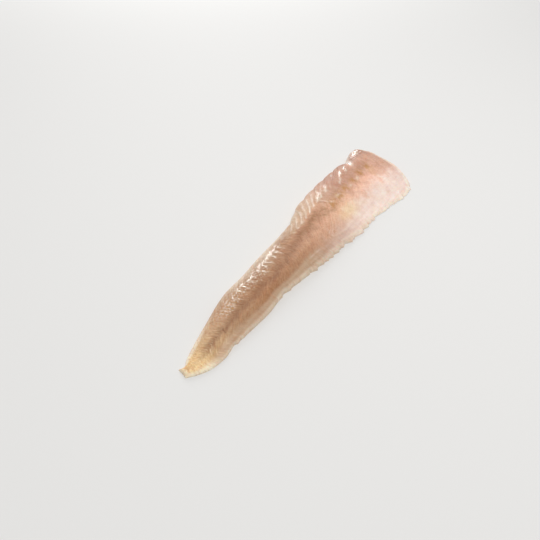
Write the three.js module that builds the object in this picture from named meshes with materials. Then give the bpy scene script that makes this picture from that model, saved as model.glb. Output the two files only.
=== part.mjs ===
// A raw, skinned ling fillet lying on its skin side, bone side up.
// Millimetres, +Z up. The tail points to -X, the head end to +X.
// The thick loin runs along the back edge (+Y), the thin belly flap along the other edge (-Y).

import * as THREE from 'three';
import { LoftGeometry } from 'three/addons/geometries/LoftGeometry.js';
import { mergeGeometries } from 'three/addons/utils/BufferGeometryUtils.js';

const { smoothstep, lerp } = THREE.MathUtils;

// Driving dimensions

// Places along the fillet of the two cut ends: the belly corner of the tail cut and the back corner
// of the head cut. Zero lies just inside the tail.
const TAIL_CUT = -4;
const HEAD_CUT = 490;

// The cross-section at a few places along the fillet. Each row holds: the place along it,
// the sideways places of the back edge, the belly edge and the midline,
// and the heights of the loin, of the flank beside the midline and of the belly rim.
const STATIONS = [
  [-4, 8, -4.4, 1, 3, 3, 2.6],
  [1.5, 6.2, -9.5, -2, 3.4, 3.4, 2.9],
  [4.5, 3.4, -11.8, -3.5, 3.8, 3.7, 3.1],
  [15, 6.6, -17.2, -5, 4.5, 4.4, 3.6],
  [30, 10.6, -20, -5, 5.8, 5.7, 4.6],
  [60, 17, -20, -3, 8.4, 8.2, 6.4],
  [110, 26.3, -23.2, -3.5, 12, 11.6, 8.8],
  [140, 26.3, -21.6, -5.5, 14, 13.4, 9.8],
  [180, 28, -27, -4, 16, 15, 10.4],
  [230, 28.2, -34.5, 2, 18.2, 16.4, 10],
  [262, 30.9, -38.4, 4, 19.5, 16.8, 9],
  [292, 39.3, -43.2, 6, 21, 16.8, 8],
  [335, 43, -44, 8, 23, 16.5, 6],
  [385, 43, -53, 7, 24, 15, 5],
  [412, 43, -57.6, 6, 23.6, 14.2, 5],
  [432, 43, -56.6, 5, 23, 13.4, 5],
  [490, 44, -55.5, 4, 15.5, 11.8, 5],
];

// How squarely the solid turns down at its edges (2 is an ellipse),
// and the length over which it does so at the two ends. The back edge grows squarer near the head.
const BACK_SQUARENESS = 2.5;
const BACK_SQUARENESS_AT_HEAD = 4;
const HEAD_SQUARING_START = 410;
const BELLY_SQUARENESS = 2.8;
const END_SQUARENESS = 3;
const HEAD_ROUNDING = 9;
const TAIL_ROUNDING = 6;

// Where the belly flap has risen to the flank, and where the flank starts to rise to the loin and
// has done so. Places across run from the belly edge (-1) over the midline (0) to the back edge (+1).
const FLAP_TOP = -0.35;
const LOIN_START = -0.4;
const LOIN_TOP = 0.45;

// The shallow groove along the midline: depth as a share of the loin's height, half width across.
const GROOVE_DEPTH = 0.045;
const GROOVE_HALF_WIDTH = 0.16;

// The crease between the flank and the rounded strip along the belly edge. It deepens between the
// first two places along the fillet and runs out between the last two.
const CREASE_PLACE = -0.7;
const CREASE_DEPTH = 0.8;
const CREASE_HALF_WIDTH = 0.07;
const CREASE_START = 110;
const CREASE_DEEPEST = 180;
const CREASE_FADE = 220;
const CREASE_END = 310;

// The tail is cut at a slant: its back corner lies this far ahead of its belly corner.
// The rows straighten up over this share of them.
const TAIL_SLANT = 6;
const TAIL_SLANT_END = 0.08;

// The head end is cut in a curve: its belly corner lies this far behind its back corner.
const HEAD_DROP = 50;
const HEAD_CURVE = 3.5;
const HEAD_DROP_START = 0.55;

// The muscle blocks between tail and head. A block at the tail is shorter than the mean block.
const BLOCKS = 42;
const TAIL_BLOCK_SHARE = 0.6;

// How far a muscle line runs forward towards the head, as a share of the half width, at the corners
// of its W, and the shares of the length over which the lines straighten towards the two ends.
const LINE_PLACES = [-1, -0.65, 0, 0.38, 1];
const LINE_SWEEP = [-0.8, -1.1, 0, -0.28, 1];
const LINE_TAIL_FADE = 0.2;
const LINE_HEAD_FADE = 0.2;

// On the belly side the sweep is only a share of that at the tail. It grows between two row shares.
const BELLY_SWEEP_AT_TAIL = 0.5;
const BELLY_SWEEP_START = 0.4;
const BELLY_SWEEP_FULL = 0.7;

// The flakes: each muscle block bulges between two muscle lines. Relief is lower on the thin tail,
// half as high where the loin has the knee height.
const FLAKE_HEIGHT = 0.9;
const RELIEF_KNEE = 6;

// Broad unevenness of the top: two slanted waves, in radians for each millimetre.
const SWELL_HEIGHT = 0.7;
const STEEP_WAVE = new THREE.Vector2(0.07, 0.04);
const FLAT_WAVE = new THREE.Vector2(0.03, -0.11);

// The ragged belly edge: one tooth for every few muscle blocks, leaning out towards the head end.
// The least tooth is a share of the deepest.
const BLOCKS_PER_TOOTH = 2;
const TOOTH_DEPTH = 2.8;
const TOOTH_LEAST = 0.15;
const TEETH_START = 170;
const TEETH_FULL = 240;

// The notch in the back edge near the head end: it steps in sharply and runs out slowly.
const NOTCH_DEPTH = 7.5;
const NOTCH_START = 418;
const NOTCH_DEEPEST = 424;
const NOTCH_END = 472;

// Teeth and notch move the points near the edge only: the higher the power, the nearer.
const TOOTH_GRIP = 5;
const NOTCH_GRIP = 1.4;

// Rows of points for each muscle block, and segments across a row.
const ROWS_PER_BLOCK = 3;
const ROW_SEGMENTS = 34;

// Spreads whole numbers over the range from 0 to 1.
const DRAW_STRIDE = 12.9898;
const DRAW_SPREAD = 43758.5453;

// The section at a place along the fillet, read from the stations.
const stationPlaces = STATIONS.map((row) => row[0]);
const stationValues = STATIONS.flatMap((row) => row.slice(1));
const stationCurve = new THREE.CubicInterpolant(stationPlaces, stationValues, STATIONS[0].length - 1);

function sectionAt(x) {
  const [back, belly, midline, loin, flank, rim] = stationCurve.evaluate(x);
  return { back, belly, midline, loin, flank, rim };
}

// How far along the fillet a row crosses the midline, for its share from tail (0) to head (1).
function rowDistance(share) {
  return lerp(TAIL_CUT, HEAD_CUT, share * lerp(TAIL_BLOCK_SHARE, 1, share));
}

const lineCurve = new THREE.LinearInterpolant(LINE_PLACES, LINE_SWEEP, 1);

// The place along the fillet of a point on a row. Rows follow the muscle lines,
// and turn into the slanted tail cut and the curved head cut at the two ends.
function distanceOnRow(share, across) {
  const straight = rowDistance(share);
  const { back, belly } = sectionAt(straight);
  const halfWidth = (back - belly) / 2;
  const fade = smoothstep(share, 0, LINE_TAIL_FADE) * smoothstep(1 - share, 0, LINE_HEAD_FADE);
  const bellyGrowth = lerp(BELLY_SWEEP_AT_TAIL, 1, smoothstep(share, BELLY_SWEEP_START, BELLY_SWEEP_FULL));
  const growth = across < 0 ? bellyGrowth : 1;
  const sweep = halfWidth * lineCurve.evaluate(across)[0] * growth * fade;
  const drop = HEAD_DROP * ((1 - across) / 2) ** HEAD_CURVE * smoothstep(share, HEAD_DROP_START, 1);
  const slant = TAIL_SLANT * (1 + across) / 2 * (1 - smoothstep(share, 0, TAIL_SLANT_END));
  return straight + sweep + slant - drop;
}

// A repeatable draw between 0 and 1 for each tooth.
function draw(tooth) {
  const spread = Math.sin(tooth * DRAW_STRIDE) * DRAW_SPREAD;
  return spread - Math.floor(spread);
}

// How far the ragged belly edge stands out beyond its mean line.
function toothAt(x, share) {
  const place = share * BLOCKS / BLOCKS_PER_TOOTH;
  const tooth = Math.floor(place);
  const depth = TOOTH_DEPTH * lerp(TOOTH_LEAST, 1, draw(tooth));
  return depth * (place - tooth - 0.5) * smoothstep(x, TEETH_START, TEETH_FULL);
}

// How far the notch cuts into the back edge.
function notchAt(x) {
  const stepIn = smoothstep(x, NOTCH_START, NOTCH_DEEPEST);
  const runOut = 1 - smoothstep(x, NOTCH_DEEPEST, NOTCH_END);
  return NOTCH_DEPTH * stepIn * runOut;
}

// The place on the ground of a point on a row.
function groundPoint(share, across) {
  const x = distanceOnRow(share, across);
  const { back, belly, midline } = sectionAt(x);
  const y = across > 0
    ? lerp(midline, back, across) - notchAt(x) * across ** NOTCH_GRIP
    : lerp(midline, belly, -across) - toothAt(x, share) * (-across) ** TOOTH_GRIP;
  return new THREE.Vector3(x, y, 0);
}

function bell(offset, halfWidth) {
  return Math.exp(-((offset / halfWidth) ** 2));
}

// The height of the section inside its rounded edges: flap, flank and loin, groove and crease.
function crownHeight(x, across) {
  const { loin, flank, rim } = sectionAt(x);
  const flap = lerp(rim, flank, smoothstep(across, -1, FLAP_TOP));
  const crown = lerp(flap, loin, smoothstep(across, LOIN_START, LOIN_TOP));
  const groove = GROOVE_DEPTH * loin * bell(across, GROOVE_HALF_WIDTH);
  return crown - groove - creaseAt(x, across);
}

function creaseAt(x, across) {
  const start = smoothstep(x, CREASE_START, CREASE_DEEPEST);
  const fade = 1 - smoothstep(x, CREASE_FADE, CREASE_END);
  return CREASE_DEPTH * start * fade * bell(across - CREASE_PLACE, CREASE_HALF_WIDTH);
}

// The flakes between the muscle lines, on broad swells.
function reliefHeight(place, share) {
  const flake = FLAKE_HEIGHT * (Math.abs(Math.sin(Math.PI * share * BLOCKS)) - 0.5);
  const swell = SWELL_HEIGHT * Math.sin(STEEP_WAVE.dot(place)) * Math.sin(FLAT_WAVE.dot(place));
  const { loin } = sectionAt(place.x);
  return (flake + swell) * loin / (loin + RELIEF_KNEE);
}

// The share of the height that is left near an edge: reach is 0 inside and 1 on the edge itself.
function edgeShare(reach, squareness) {
  const inside = 1 - Math.min(Math.abs(reach), 1) ** squareness;
  return inside ** (1 / squareness);
}

function roundingAt(share, across) {
  const straight = rowDistance(share);
  const squaring = smoothstep(straight, HEAD_SQUARING_START, HEAD_CUT);
  const backSquareness = lerp(BACK_SQUARENESS, BACK_SQUARENESS_AT_HEAD, squaring);
  const side = edgeShare(across, across > 0 ? backSquareness : BELLY_SQUARENESS);
  const tail = edgeShare(Math.max(1 - (straight - TAIL_CUT) / TAIL_ROUNDING, 0), END_SQUARENESS);
  const head = edgeShare(Math.max(1 - (HEAD_CUT - straight) / HEAD_ROUNDING, 0), END_SQUARENESS);
  return side * tail * head;
}

function topPoint(share, across) {
  const point = groundPoint(share, across);
  const height = crownHeight(point.x, across) + reliefHeight(point, share);
  point.z = height * roundingAt(share, across);
  return point;
}

// One row over the top, from the back edge to the belly edge, closer together near the edges.
function makeRow(share) {
  const row = [];
  for (let i = 0; i <= ROW_SEGMENTS; i += 1) {
    row.push(topPoint(share, Math.cos(Math.PI * i / ROW_SEGMENTS)));
  }
  return row;
}

// The flat foot that closes the top: its outline is the tail row, the belly edge, the head row
// and the back edge. Its triangles are turned over to face down.
function makeFoot(rows) {
  const inner = rows.slice(1, -1);
  const bellyEdge = inner.map((row) => row.at(-1));
  const backEdge = inner.map((row) => row[0]);
  const outline = [...rows[0], ...bellyEdge, ...rows.at(-1).toReversed(), ...backEdge.toReversed()];
  const foot = new THREE.ShapeGeometry(new THREE.Shape(outline));
  foot.setIndex(Array.from(foot.getIndex().array).reverse());
  return foot;
}

function makeFillet() {
  const rows = [];
  const rowCount = BLOCKS * ROWS_PER_BLOCK;
  for (let i = 0; i <= rowCount; i += 1) {
    rows.push(makeRow(i / rowCount));
  }
  const top = new LoftGeometry(rows, { closed: false });
  const geometry = mergeGeometries([top, makeFoot(rows)]);

  // The origin lies under the middle of the fillet, on the face that it rests on.
  geometry.computeBoundingBox();
  const middle = geometry.boundingBox.getCenter(new THREE.Vector3());
  geometry.translate(-middle.x, -middle.y, 0);

  const flesh = new THREE.MeshStandardMaterial({ color: 0xd9b598, roughness: 0.35, metalness: 0 });
  const fillet = new THREE.Mesh(geometry, flesh);
  fillet.name = 'fillet';
  return fillet;
}

const part = new THREE.Group();
part.add(makeFillet());

export default part;
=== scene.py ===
# %% [markdown]
# # A raw ling fillet
#
# One long, skinned side of a ling lies bone side up. It tapers from the thick, wide head end to a
# narrow tail. The construction model gives its true size and place, so it is loaded first, and its
# box is kept to place the finished piece.

# %% Load the frame
import math
from functools import reduce

import bmesh
import bpy
import numpy as np
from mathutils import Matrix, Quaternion, Vector


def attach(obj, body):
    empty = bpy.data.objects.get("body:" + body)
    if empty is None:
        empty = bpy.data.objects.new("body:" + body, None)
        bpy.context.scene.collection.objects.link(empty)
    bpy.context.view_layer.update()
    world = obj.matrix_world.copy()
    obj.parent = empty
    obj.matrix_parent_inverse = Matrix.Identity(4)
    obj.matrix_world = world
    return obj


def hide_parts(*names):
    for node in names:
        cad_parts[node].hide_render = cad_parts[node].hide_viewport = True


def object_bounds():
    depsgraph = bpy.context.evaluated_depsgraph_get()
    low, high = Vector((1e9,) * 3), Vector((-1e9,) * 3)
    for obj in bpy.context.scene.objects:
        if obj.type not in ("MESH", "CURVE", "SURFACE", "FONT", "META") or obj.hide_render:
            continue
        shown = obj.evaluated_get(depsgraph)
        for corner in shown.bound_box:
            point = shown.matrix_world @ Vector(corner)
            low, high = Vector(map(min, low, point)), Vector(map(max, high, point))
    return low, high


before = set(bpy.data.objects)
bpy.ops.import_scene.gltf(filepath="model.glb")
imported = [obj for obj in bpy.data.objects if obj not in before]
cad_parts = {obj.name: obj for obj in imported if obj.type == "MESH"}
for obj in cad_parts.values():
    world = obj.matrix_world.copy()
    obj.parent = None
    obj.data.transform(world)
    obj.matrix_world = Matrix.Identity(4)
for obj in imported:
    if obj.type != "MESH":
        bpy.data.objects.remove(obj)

cad_low, cad_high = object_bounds()
print("construction box, metres:", tuple(cad_low), tuple(cad_high))

# %% [markdown]
# ## Camera
#
# The picture looks along the fillet from behind its tail, a little from the belly side, and down at
# about a third of a right angle. A camera could be placed by its coordinates. Here it is placed the
# way a photographer would say it: a point on the floor, a distance from it, a heading, a downward
# tilt and a slight roll.

# %% Camera
LENS = 46.2
VIEW_CENTRE = Vector((-0.0674, 0.0173, 0.0))
VIEW_DISTANCE = 0.702
VIEW_HEADING = math.radians(26.03)
VIEW_TILT = math.radians(32.41)
VIEW_ROLL = math.radians(2.05)


def direction(heading, lift):
    """A unit vector with a heading from +X towards +Y and a lift above the floor, in radians."""
    level = math.cos(lift)
    return Vector((math.cos(heading) * level, math.sin(heading) * level, math.sin(lift)))


def make_camera():
    ahead = direction(VIEW_HEADING, -VIEW_TILT)
    camera = bpy.data.objects.new("camera", bpy.data.cameras.new("camera"))
    camera.data.lens = LENS
    camera.rotation_mode = "QUATERNION"
    camera.rotation_quaternion = ahead.to_track_quat("-Z", "Y") @ Quaternion((0, 0, 1), VIEW_ROLL)
    camera.location = VIEW_CENTRE - ahead * VIEW_DISTANCE
    bpy.context.collection.objects.link(camera)
    bpy.context.scene.camera = camera
    return camera


camera = make_camera()
print("camera at", tuple(round(c, 3) for c in camera.location))

# %% [markdown]
# ## Studio
#
# Wet flesh shows its form by the light that it mirrors. The window softbox stands low and far behind
# the head end, on the back side, so that only the slope of the loin mirrors it towards the camera
# and sparkles, while the belly side stays calm. A wide overhead softbox and a pale surround do the
# rest.

# %% Studio lights
SURROUND_STRENGTH = 0.48


def softbox(name, heading, height, distance, size, power):
    """A square area light that looks at the fillet; heading and height are in degrees."""
    away = direction(math.radians(heading), math.radians(height))
    light = bpy.data.objects.new(name, bpy.data.lights.new(name, "AREA"))
    light.data.size = size
    light.data.energy = power
    light.location = away * distance
    light.rotation_mode = "QUATERNION"
    light.rotation_quaternion = away.to_track_quat("Z", "Y")
    bpy.context.collection.objects.link(light)
    return light


def make_surround():
    world = bpy.data.worlds.new("pale surround")
    world.use_nodes = True
    background = world.node_tree.nodes["Background"]
    background.inputs["Color"].default_value = (1.0, 1.0, 1.0, 1.0)
    background.inputs["Strength"].default_value = SURROUND_STRENGTH
    bpy.context.scene.world = world
    bpy.context.scene.view_settings.view_transform = "Standard"


window = softbox("window softbox", heading=35, height=21, distance=3.2, size=1.15, power=38)
overhead = softbox("overhead softbox", heading=-90, height=80, distance=1.8, size=1.2, power=15)
make_surround()
print("lights:", window.name, "and", overhead.name)

# %% [markdown]
# A plain pale floor catches the contact shadow. One grid face is enough; it isn't part of the fillet.

# %% Floor
FLOOR_HALF_WIDTH = 8.0
FLOOR_ROUGHNESS = 0.85


def to_linear(red, green, blue):
    """A colour as a painter picks it, 0 to 255, in the linear numbers that shaders use (sRGB curve)."""
    def linear(level):
        level = level / 255
        return level / 12.92 if level <= 0.04045 else ((level + 0.055) / 1.055) ** 2.4
    return (linear(red), linear(green), linear(blue), 1.0)


FLOOR_PALE = to_linear(232, 231, 229)


def make_floor():
    mesh = bpy.data.meshes.new("floor")
    form = bmesh.new()
    bmesh.ops.create_grid(form, x_segments=1, y_segments=1, size=FLOOR_HALF_WIDTH)
    form.to_mesh(mesh)
    form.free()
    finish = bpy.data.materials.new("pale floor")
    finish.use_nodes = True
    shader = finish.node_tree.nodes["Principled BSDF"]
    shader.inputs["Base Color"].default_value = FLOOR_PALE
    shader.inputs["Roughness"].default_value = FLOOR_ROUGHNESS
    mesh.materials.append(finish)
    floor = bpy.data.objects.new("floor", mesh)
    bpy.context.collection.objects.link(floor)
    return floor


print("stage:", make_floor().name)

# %% [markdown]
# ## The form along its length
#
# A fillet's section changes slowly from tail to head: the two edges move apart, the midline wanders,
# the loin grows thick and the belly flap stays thin. A few stations hold those sizes in millimetres,
# and a smooth curve runs through each column. The stations repeat the construction model's, so the
# finished piece lies where that solid lies.
#
# A place along is counted from just inside the tail to the head cut. The length of the construction
# model's box tells where the tail is cut.

# %% Stations
MM = 0.001
HEAD_CUT = 490
TAIL_CUT = HEAD_CUT - (cad_high.x - cad_low.x) / MM

# Place along; places of the back edge, belly edge and midline; heights of loin, flank, rim.
STATIONS = np.array([
    [-4, 8, -4.4, 1, 3, 3, 2.6],
    [1.5, 6.2, -9.5, -2, 3.4, 3.4, 2.9],
    [4.5, 3.4, -11.8, -3.5, 3.8, 3.7, 3.1],
    [15, 6.6, -17.2, -5, 4.5, 4.4, 3.6],
    [30, 10.6, -20, -5, 5.8, 5.7, 4.6],
    [60, 17, -20, -3, 8.4, 8.2, 6.4],
    [110, 26.3, -23.2, -3.5, 12, 11.6, 8.8],
    [140, 26.3, -21.6, -5.5, 14, 13.4, 9.8],
    [180, 28, -27, -4, 16, 15, 10.4],
    [230, 28.2, -34.5, 2, 18.2, 16.4, 10],
    [262, 30.9, -38.4, 4, 19.5, 16.8, 9],
    [292, 39.3, -43.2, 6, 21, 16.8, 8],
    [335, 43, -44, 8, 23, 16.5, 6],
    [385, 43, -53, 7, 24, 15, 5],
    [412, 43, -57.6, 6, 23.6, 14.2, 5],
    [432, 43, -56.6, 5, 23, 13.4, 5],
    [490, 44, -55.5, 4, 15.5, 11.8, 5],
])
COLUMNS = ["back", "belly", "midline", "loin", "flank", "rim"]


def curve_through(places, values):
    """A smooth curve whose slope at each place is the mean of the slopes on its two sides."""
    steps = np.diff(values) / np.diff(places)
    slopes = np.concatenate([steps[:1], (steps[1:] + steps[:-1]) / 2, steps[-1:]])

    def curve(x):
        i = np.clip(np.searchsorted(places, x) - 1, 0, len(places) - 2)
        width = places[i + 1] - places[i]
        t = (x - places[i]) / width
        ease = t * t * (3 - 2 * t)
        level = values[i] * (1 - ease) + values[i + 1] * ease
        bend = slopes[i] * (1 - t) - slopes[i + 1] * t
        return level + bend * t * (1 - t) * width

    return curve


section = {name: curve_through(STATIONS[:, 0], STATIONS[:, i + 1]) for i, name in enumerate(COLUMNS)}
print("half way along, mm:", {name: round(float(section[name](HEAD_CUT / 2)), 1) for name in COLUMNS})

# %% [markdown]
# ## Muscle lines
#
# Fish muscle is a row of blocks, and the thin walls between them show as W-shaped lines: they run
# back from the midline to a corner on either side, and forward again to the edges. On the loin that
# corner lies closer to the midline towards the head. If the rows of the mesh follow those lines, a
# flake is simply a band of rows, and its relief and its colour need no more than the row's number.
# The first row follows the slanted tail cut instead, and the last the curved head cut.

# %% Rows along the muscle lines
BLOCKS = 42
TAIL_BLOCK_SHARE = 0.6
BELLY_PLACES = [-1, -0.65, 0]
BELLY_LINE = [-0.8, -1.1, 0]
LINE_TAIL_FADE = 0.2
LINE_HEAD_FADE = 0.2
BELLY_SWEEP_ALONG = [85, 145, 205, 300]
BELLY_SWEEP = [1, 0.5, 0.5, 1]
LOIN_CORNER_ALONG = [205, 265]
LOIN_CORNER = [0.52, 0.26]
LOIN_CORNER_SWEEP = -0.2
TAIL_SLANT = 6
TAIL_SLANT_END = 0.08
HEAD_DROP = 50
HEAD_CURVE = 3.5
HEAD_DROP_START = 0.55


def smoothstep(x, start, end):
    """0 up to start and 1 from end on, eased between."""
    t = np.clip((x - start) / (end - start), 0, 1)
    return t * t * (3 - 2 * t)


def between(start, end, share):
    """The value at a share of the way from start to end."""
    return start + (end - start) * share


def row_distance(share):
    """How far along a row crosses the midline, for its share from tail (0) to head (1)."""
    return between(TAIL_CUT, HEAD_CUT, share * between(TAIL_BLOCK_SHARE, 1, share))


def distance_on_row(share, across):
    """How far along a point of a row lies, for its place from the belly edge (-1) to the back edge (1)."""
    straight = row_distance(share)
    half_width = (section["back"](straight) - section["belly"](straight)) / 2
    fade = smoothstep(share, 0, LINE_TAIL_FADE) * smoothstep(1 - share, 0, LINE_HEAD_FADE)
    belly_sweep = np.interp(straight, BELLY_SWEEP_ALONG, BELLY_SWEEP)
    on_belly = np.interp(across, BELLY_PLACES, BELLY_LINE) * belly_sweep
    corner = np.interp(straight, LOIN_CORNER_ALONG, LOIN_CORNER)
    to_corner = LOIN_CORNER_SWEEP * across / corner
    to_edge = between(LOIN_CORNER_SWEEP, 1, (across - corner) / (1 - corner))
    on_back = np.where(across < corner, to_corner, to_edge)
    sweep = half_width * np.where(across < 0, on_belly, on_back) * fade
    slant = TAIL_SLANT * (1 + across) / 2 * (1 - smoothstep(share, 0, TAIL_SLANT_END))
    drop = HEAD_DROP * ((1 - across) / 2) ** HEAD_CURVE * smoothstep(share, HEAD_DROP_START, 1)
    return straight + sweep + slant - drop


print("muscle blocks:", BLOCKS, "of", round((HEAD_CUT - TAIL_CUT) / BLOCKS, 1), "mm on average")

# %% [markdown]
# ## The sheet of rows
#
# The top is one grid from Blender's own operator. Its first direction becomes the place along the
# fillet and its second the place across. Rows crowd together at the two cut ends, and columns at the
# two long edges, because the surface turns down there.

# %% Grid
ROWS_PER_BLOCK = 20
COLUMN_COUNT = 116
END_BLOCK = 1 / BLOCKS

form = bmesh.new()
bmesh.ops.create_grid(form, x_segments=BLOCKS * ROWS_PER_BLOCK, y_segments=COLUMN_COUNT, size=1)
grid = np.array([vert.co for vert in form.verts])


def crowd_ends(share):
    """Leaves a share as it is, but squeezes the rows of the first and last block towards the ends."""
    near_tail = END_BLOCK * np.clip(share / END_BLOCK, 0, 1) ** 2
    near_head = 1 - END_BLOCK * np.clip((1 - share) / END_BLOCK, 0, 1) ** 2
    return np.where(share < END_BLOCK, near_tail, np.where(share > 1 - END_BLOCK, near_head, share))


share = crowd_ends((grid[:, 0] + 1) / 2)
across = np.sin(grid[:, 1] * math.pi / 2)
print("grid of", len(form.verts), "points")

# %% [markdown]
# ## Outline
#
# A row gives a point its place along, and a column its place between the midline and one of the two
# edges. The back edge has a notch near the head end and, before it, shallow scallops where the
# blocks end. The belly edge has a small step near the tail. All of them move only the points close
# to the edge, so the flakes inside stay even.

# %% Outline
NOTCH_DEPTH = 7.5
NOTCH_ALONG = (418, 424, 424, 472)
NOTCH_GRIP = 1.4
SCALLOP_DEPTH = 2.2
SCALLOP_MEAN = 0.64
SCALLOP_GRIP = 4
SCALLOPS_ALONG = (230, 280, 405, 428)
BLOCKS_PER_SCALLOP = 2
TAIL_STEP_DEPTH = 1.5
TAIL_STEP_ALONG = (34, 50, 53, 56)
TAIL_STEP_GRIP = 8


def window_of(value, start, full, fade, end):
    """0 outside start and end, 1 between full and fade, eased between."""
    return smoothstep(value, start, full) * (1 - smoothstep(value, fade, end))


row = row_distance(share)
x = distance_on_row(share, across)
back_side = np.clip(across, 0, 1)
belly_side = np.clip(-across, 0, 1)
midline = section["midline"](x)
y = midline + back_side * (section["back"](x) - midline) + belly_side * (section["belly"](x) - midline)

notch = NOTCH_DEPTH * window_of(x, *NOTCH_ALONG)
arches = np.abs(np.sin(math.pi * share * BLOCKS / BLOCKS_PER_SCALLOP)) - SCALLOP_MEAN
scallops = SCALLOP_DEPTH * arches * window_of(x, *SCALLOPS_ALONG)
tail_step = TAIL_STEP_DEPTH * window_of(x, *TAIL_STEP_ALONG)
y = y - notch * back_side ** NOTCH_GRIP + scallops * back_side ** SCALLOP_GRIP
y = y + tail_step * belly_side ** TAIL_STEP_GRIP
print("smooth outline, mm: y from", round(y.min(), 1), "to", round(y.max(), 1))

# %% [markdown]
# ## Ragged belly edge
#
# The knife leaves the belly edge ragged: a tooth for every few blocks, deeper on some than on others,
# tears that slant in between the sheets, and fine nicks between them. A tooth or a tear that follows
# the rows stays as crisp as they are, so both read only the share along.
#
# The nicks are random waves: sums of a few sines with seeded headings, the same on every run.

# %% Ragged belly edge
BLOCKS_PER_TOOTH = 2
TOOTH_DEPTH = 2.8
TOOTH_LEAST = 0.15
TOOTH_GRIP = 5
TEETH_ALONG = (170, 240)
NICK_DEPTH = 0.7
NICK_LENGTH = 11
NICK_BREAKS = 40
NICK_BREAK_SHARE = (-0.6, 0.9)
NICK_GRIP = 9
NICKS_ALONG = (90, 230)
NICKS_AT_TAIL = 0.3
TEAR_DEPTH = 6.5
TEARS_PER_BLOCK = 0.65
TEAR_WANDER = 0.3
TEAR_GRIP = 8


def draw(number, stride=12.9898, spread=43758.5453):
    """A repeatable draw between 0 and 1 for each whole number."""
    value = np.sin(number * stride) * spread
    return value - np.floor(value)


def ripples(u, v, length, seed, waves=9, shortest=0.7, longest=1.5):
    """Smooth random bumps, about one length across and about one unit high."""
    draws = np.random.default_rng(seed)
    total = np.zeros(len(u))
    for _ in range(waves):
        heading = draws.uniform(0, math.tau)
        wave_number = math.tau / (length * draws.uniform(shortest, longest))
        start = draws.uniform(0, math.tau)
        total += np.sin((u * math.cos(heading) + v * math.sin(heading)) * wave_number + start)
    return total / math.sqrt(waves)


tooth_place = share * BLOCKS / BLOCKS_PER_TOOTH
tooth = np.floor(tooth_place)
teeth = TOOTH_DEPTH * between(TOOTH_LEAST, 1, draw(tooth)) * (tooth_place - tooth - 0.5)
teeth = teeth * smoothstep(x, *TEETH_ALONG)
nicks = NICK_DEPTH * ripples(x, across, NICK_LENGTH, seed=3)
nicks = nicks * smoothstep(ripples(x, across, NICK_BREAKS, seed=4), *NICK_BREAK_SHARE)
nicks = nicks * between(NICKS_AT_TAIL, 1, smoothstep(x, *NICKS_ALONG))
tear_place = share * BLOCKS * TEARS_PER_BLOCK + TEAR_WANDER * ripples(row, 0, NICK_BREAKS, seed=8)
tear = np.floor(tear_place)
tears = TEAR_DEPTH * draw(tear + 0.5) ** 2 * (tear_place - tear - 0.5) * smoothstep(x, *NICKS_ALONG)
y = y - teeth * belly_side ** TOOTH_GRIP
y = y + nicks * belly_side ** NICK_GRIP
y = y - tears * belly_side ** TEAR_GRIP
print("teeth:", int(tooth.max()), "tears:", int(tear.max()))

# %% [markdown]
# The corner between the belly edge and the head cut is round on the fillet, but rows and columns meet
# there in a square. So its points are drawn in, the farthest ones most, onto a quarter circle.

# %% Rounded corner
CORNER_RADIUS = 12
TINY = 1e-9

near_head = np.clip(1 - (HEAD_CUT - row) / CORNER_RADIUS, 0, 1)
near_belly = np.clip(1 - (1 - belly_side) * (midline - section["belly"](x)) / CORNER_RADIUS, 0, 1)
pull = np.maximum(near_head, near_belly) / np.maximum(np.hypot(near_head, near_belly), TINY)
x = x - CORNER_RADIUS * near_head * (1 - pull) * (near_belly > 0)
y = y + CORNER_RADIUS * near_belly * (1 - pull) * (near_head > 0)
print("outline, mm: x", round(x.min(), 1), round(x.max(), 1), "y", round(y.min(), 1), round(y.max(), 1))

# %% [markdown]
# ## Height
#
# Across the section the flap rises to the flank and the flank to the loin, with a shallow groove on
# the midline and a crease above the belly rim. All edges turn down in a rounded, squarish curve.

# %% Smooth height
BACK_SQUARENESS = 2.5
BACK_SQUARENESS_AT_HEAD = 4
HEAD_SQUARING_START = 410
BELLY_SQUARENESS = 2.8
END_SQUARENESS = 3
HEAD_ROUNDING = 9
TAIL_ROUNDING = 6
FLAP_TOP = -0.35
LOIN_START = -0.4
LOIN_TOP = 0.45
GROOVE_DEPTH = 0.03
GROOVE_HALF_WIDTH = 0.24
CREASE_PLACE = -0.7
CREASE_DEPTH = 0.5
CREASE_HALF_WIDTH = 0.07
CREASE_ALONG = (110, 180, 220, 310)


def bell(offset, half_width):
    """1 where the offset is 0, falling softly to both sides."""
    return np.exp(-((offset / half_width) ** 2))


def edge_share(reach, squareness):
    """The share of the height that is left: reach is 0 inside and 1 on the edge itself."""
    return (1 - np.clip(reach, 0, 1) ** squareness) ** (1 / squareness)


loin = section["loin"](x)
flap = between(section["rim"](x), section["flank"](x), smoothstep(across, -1, FLAP_TOP))
crown = between(flap, loin, smoothstep(across, LOIN_START, LOIN_TOP))
crown = crown - GROOVE_DEPTH * loin * bell(across, GROOVE_HALF_WIDTH)
crease = CREASE_DEPTH * bell(across - CREASE_PLACE, CREASE_HALF_WIDTH)
crown = crown - crease * window_of(x, *CREASE_ALONG)

tail_reach = 1 - (row - TAIL_CUT) / TAIL_ROUNDING
head_reach = 1 - (HEAD_CUT - row) / HEAD_ROUNDING
squaring = smoothstep(row, HEAD_SQUARING_START, HEAD_CUT)
back_squareness = between(BACK_SQUARENESS, BACK_SQUARENESS_AT_HEAD, squaring)
rounding = edge_share(back_side, back_squareness) * edge_share(belly_side, BELLY_SQUARENESS)
rounding = rounding * edge_share(tail_reach, END_SQUARENESS) * edge_share(head_reach, END_SQUARENESS)
print("highest point of the smooth form, mm:", round(float((crown * rounding).max()), 1))

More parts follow.
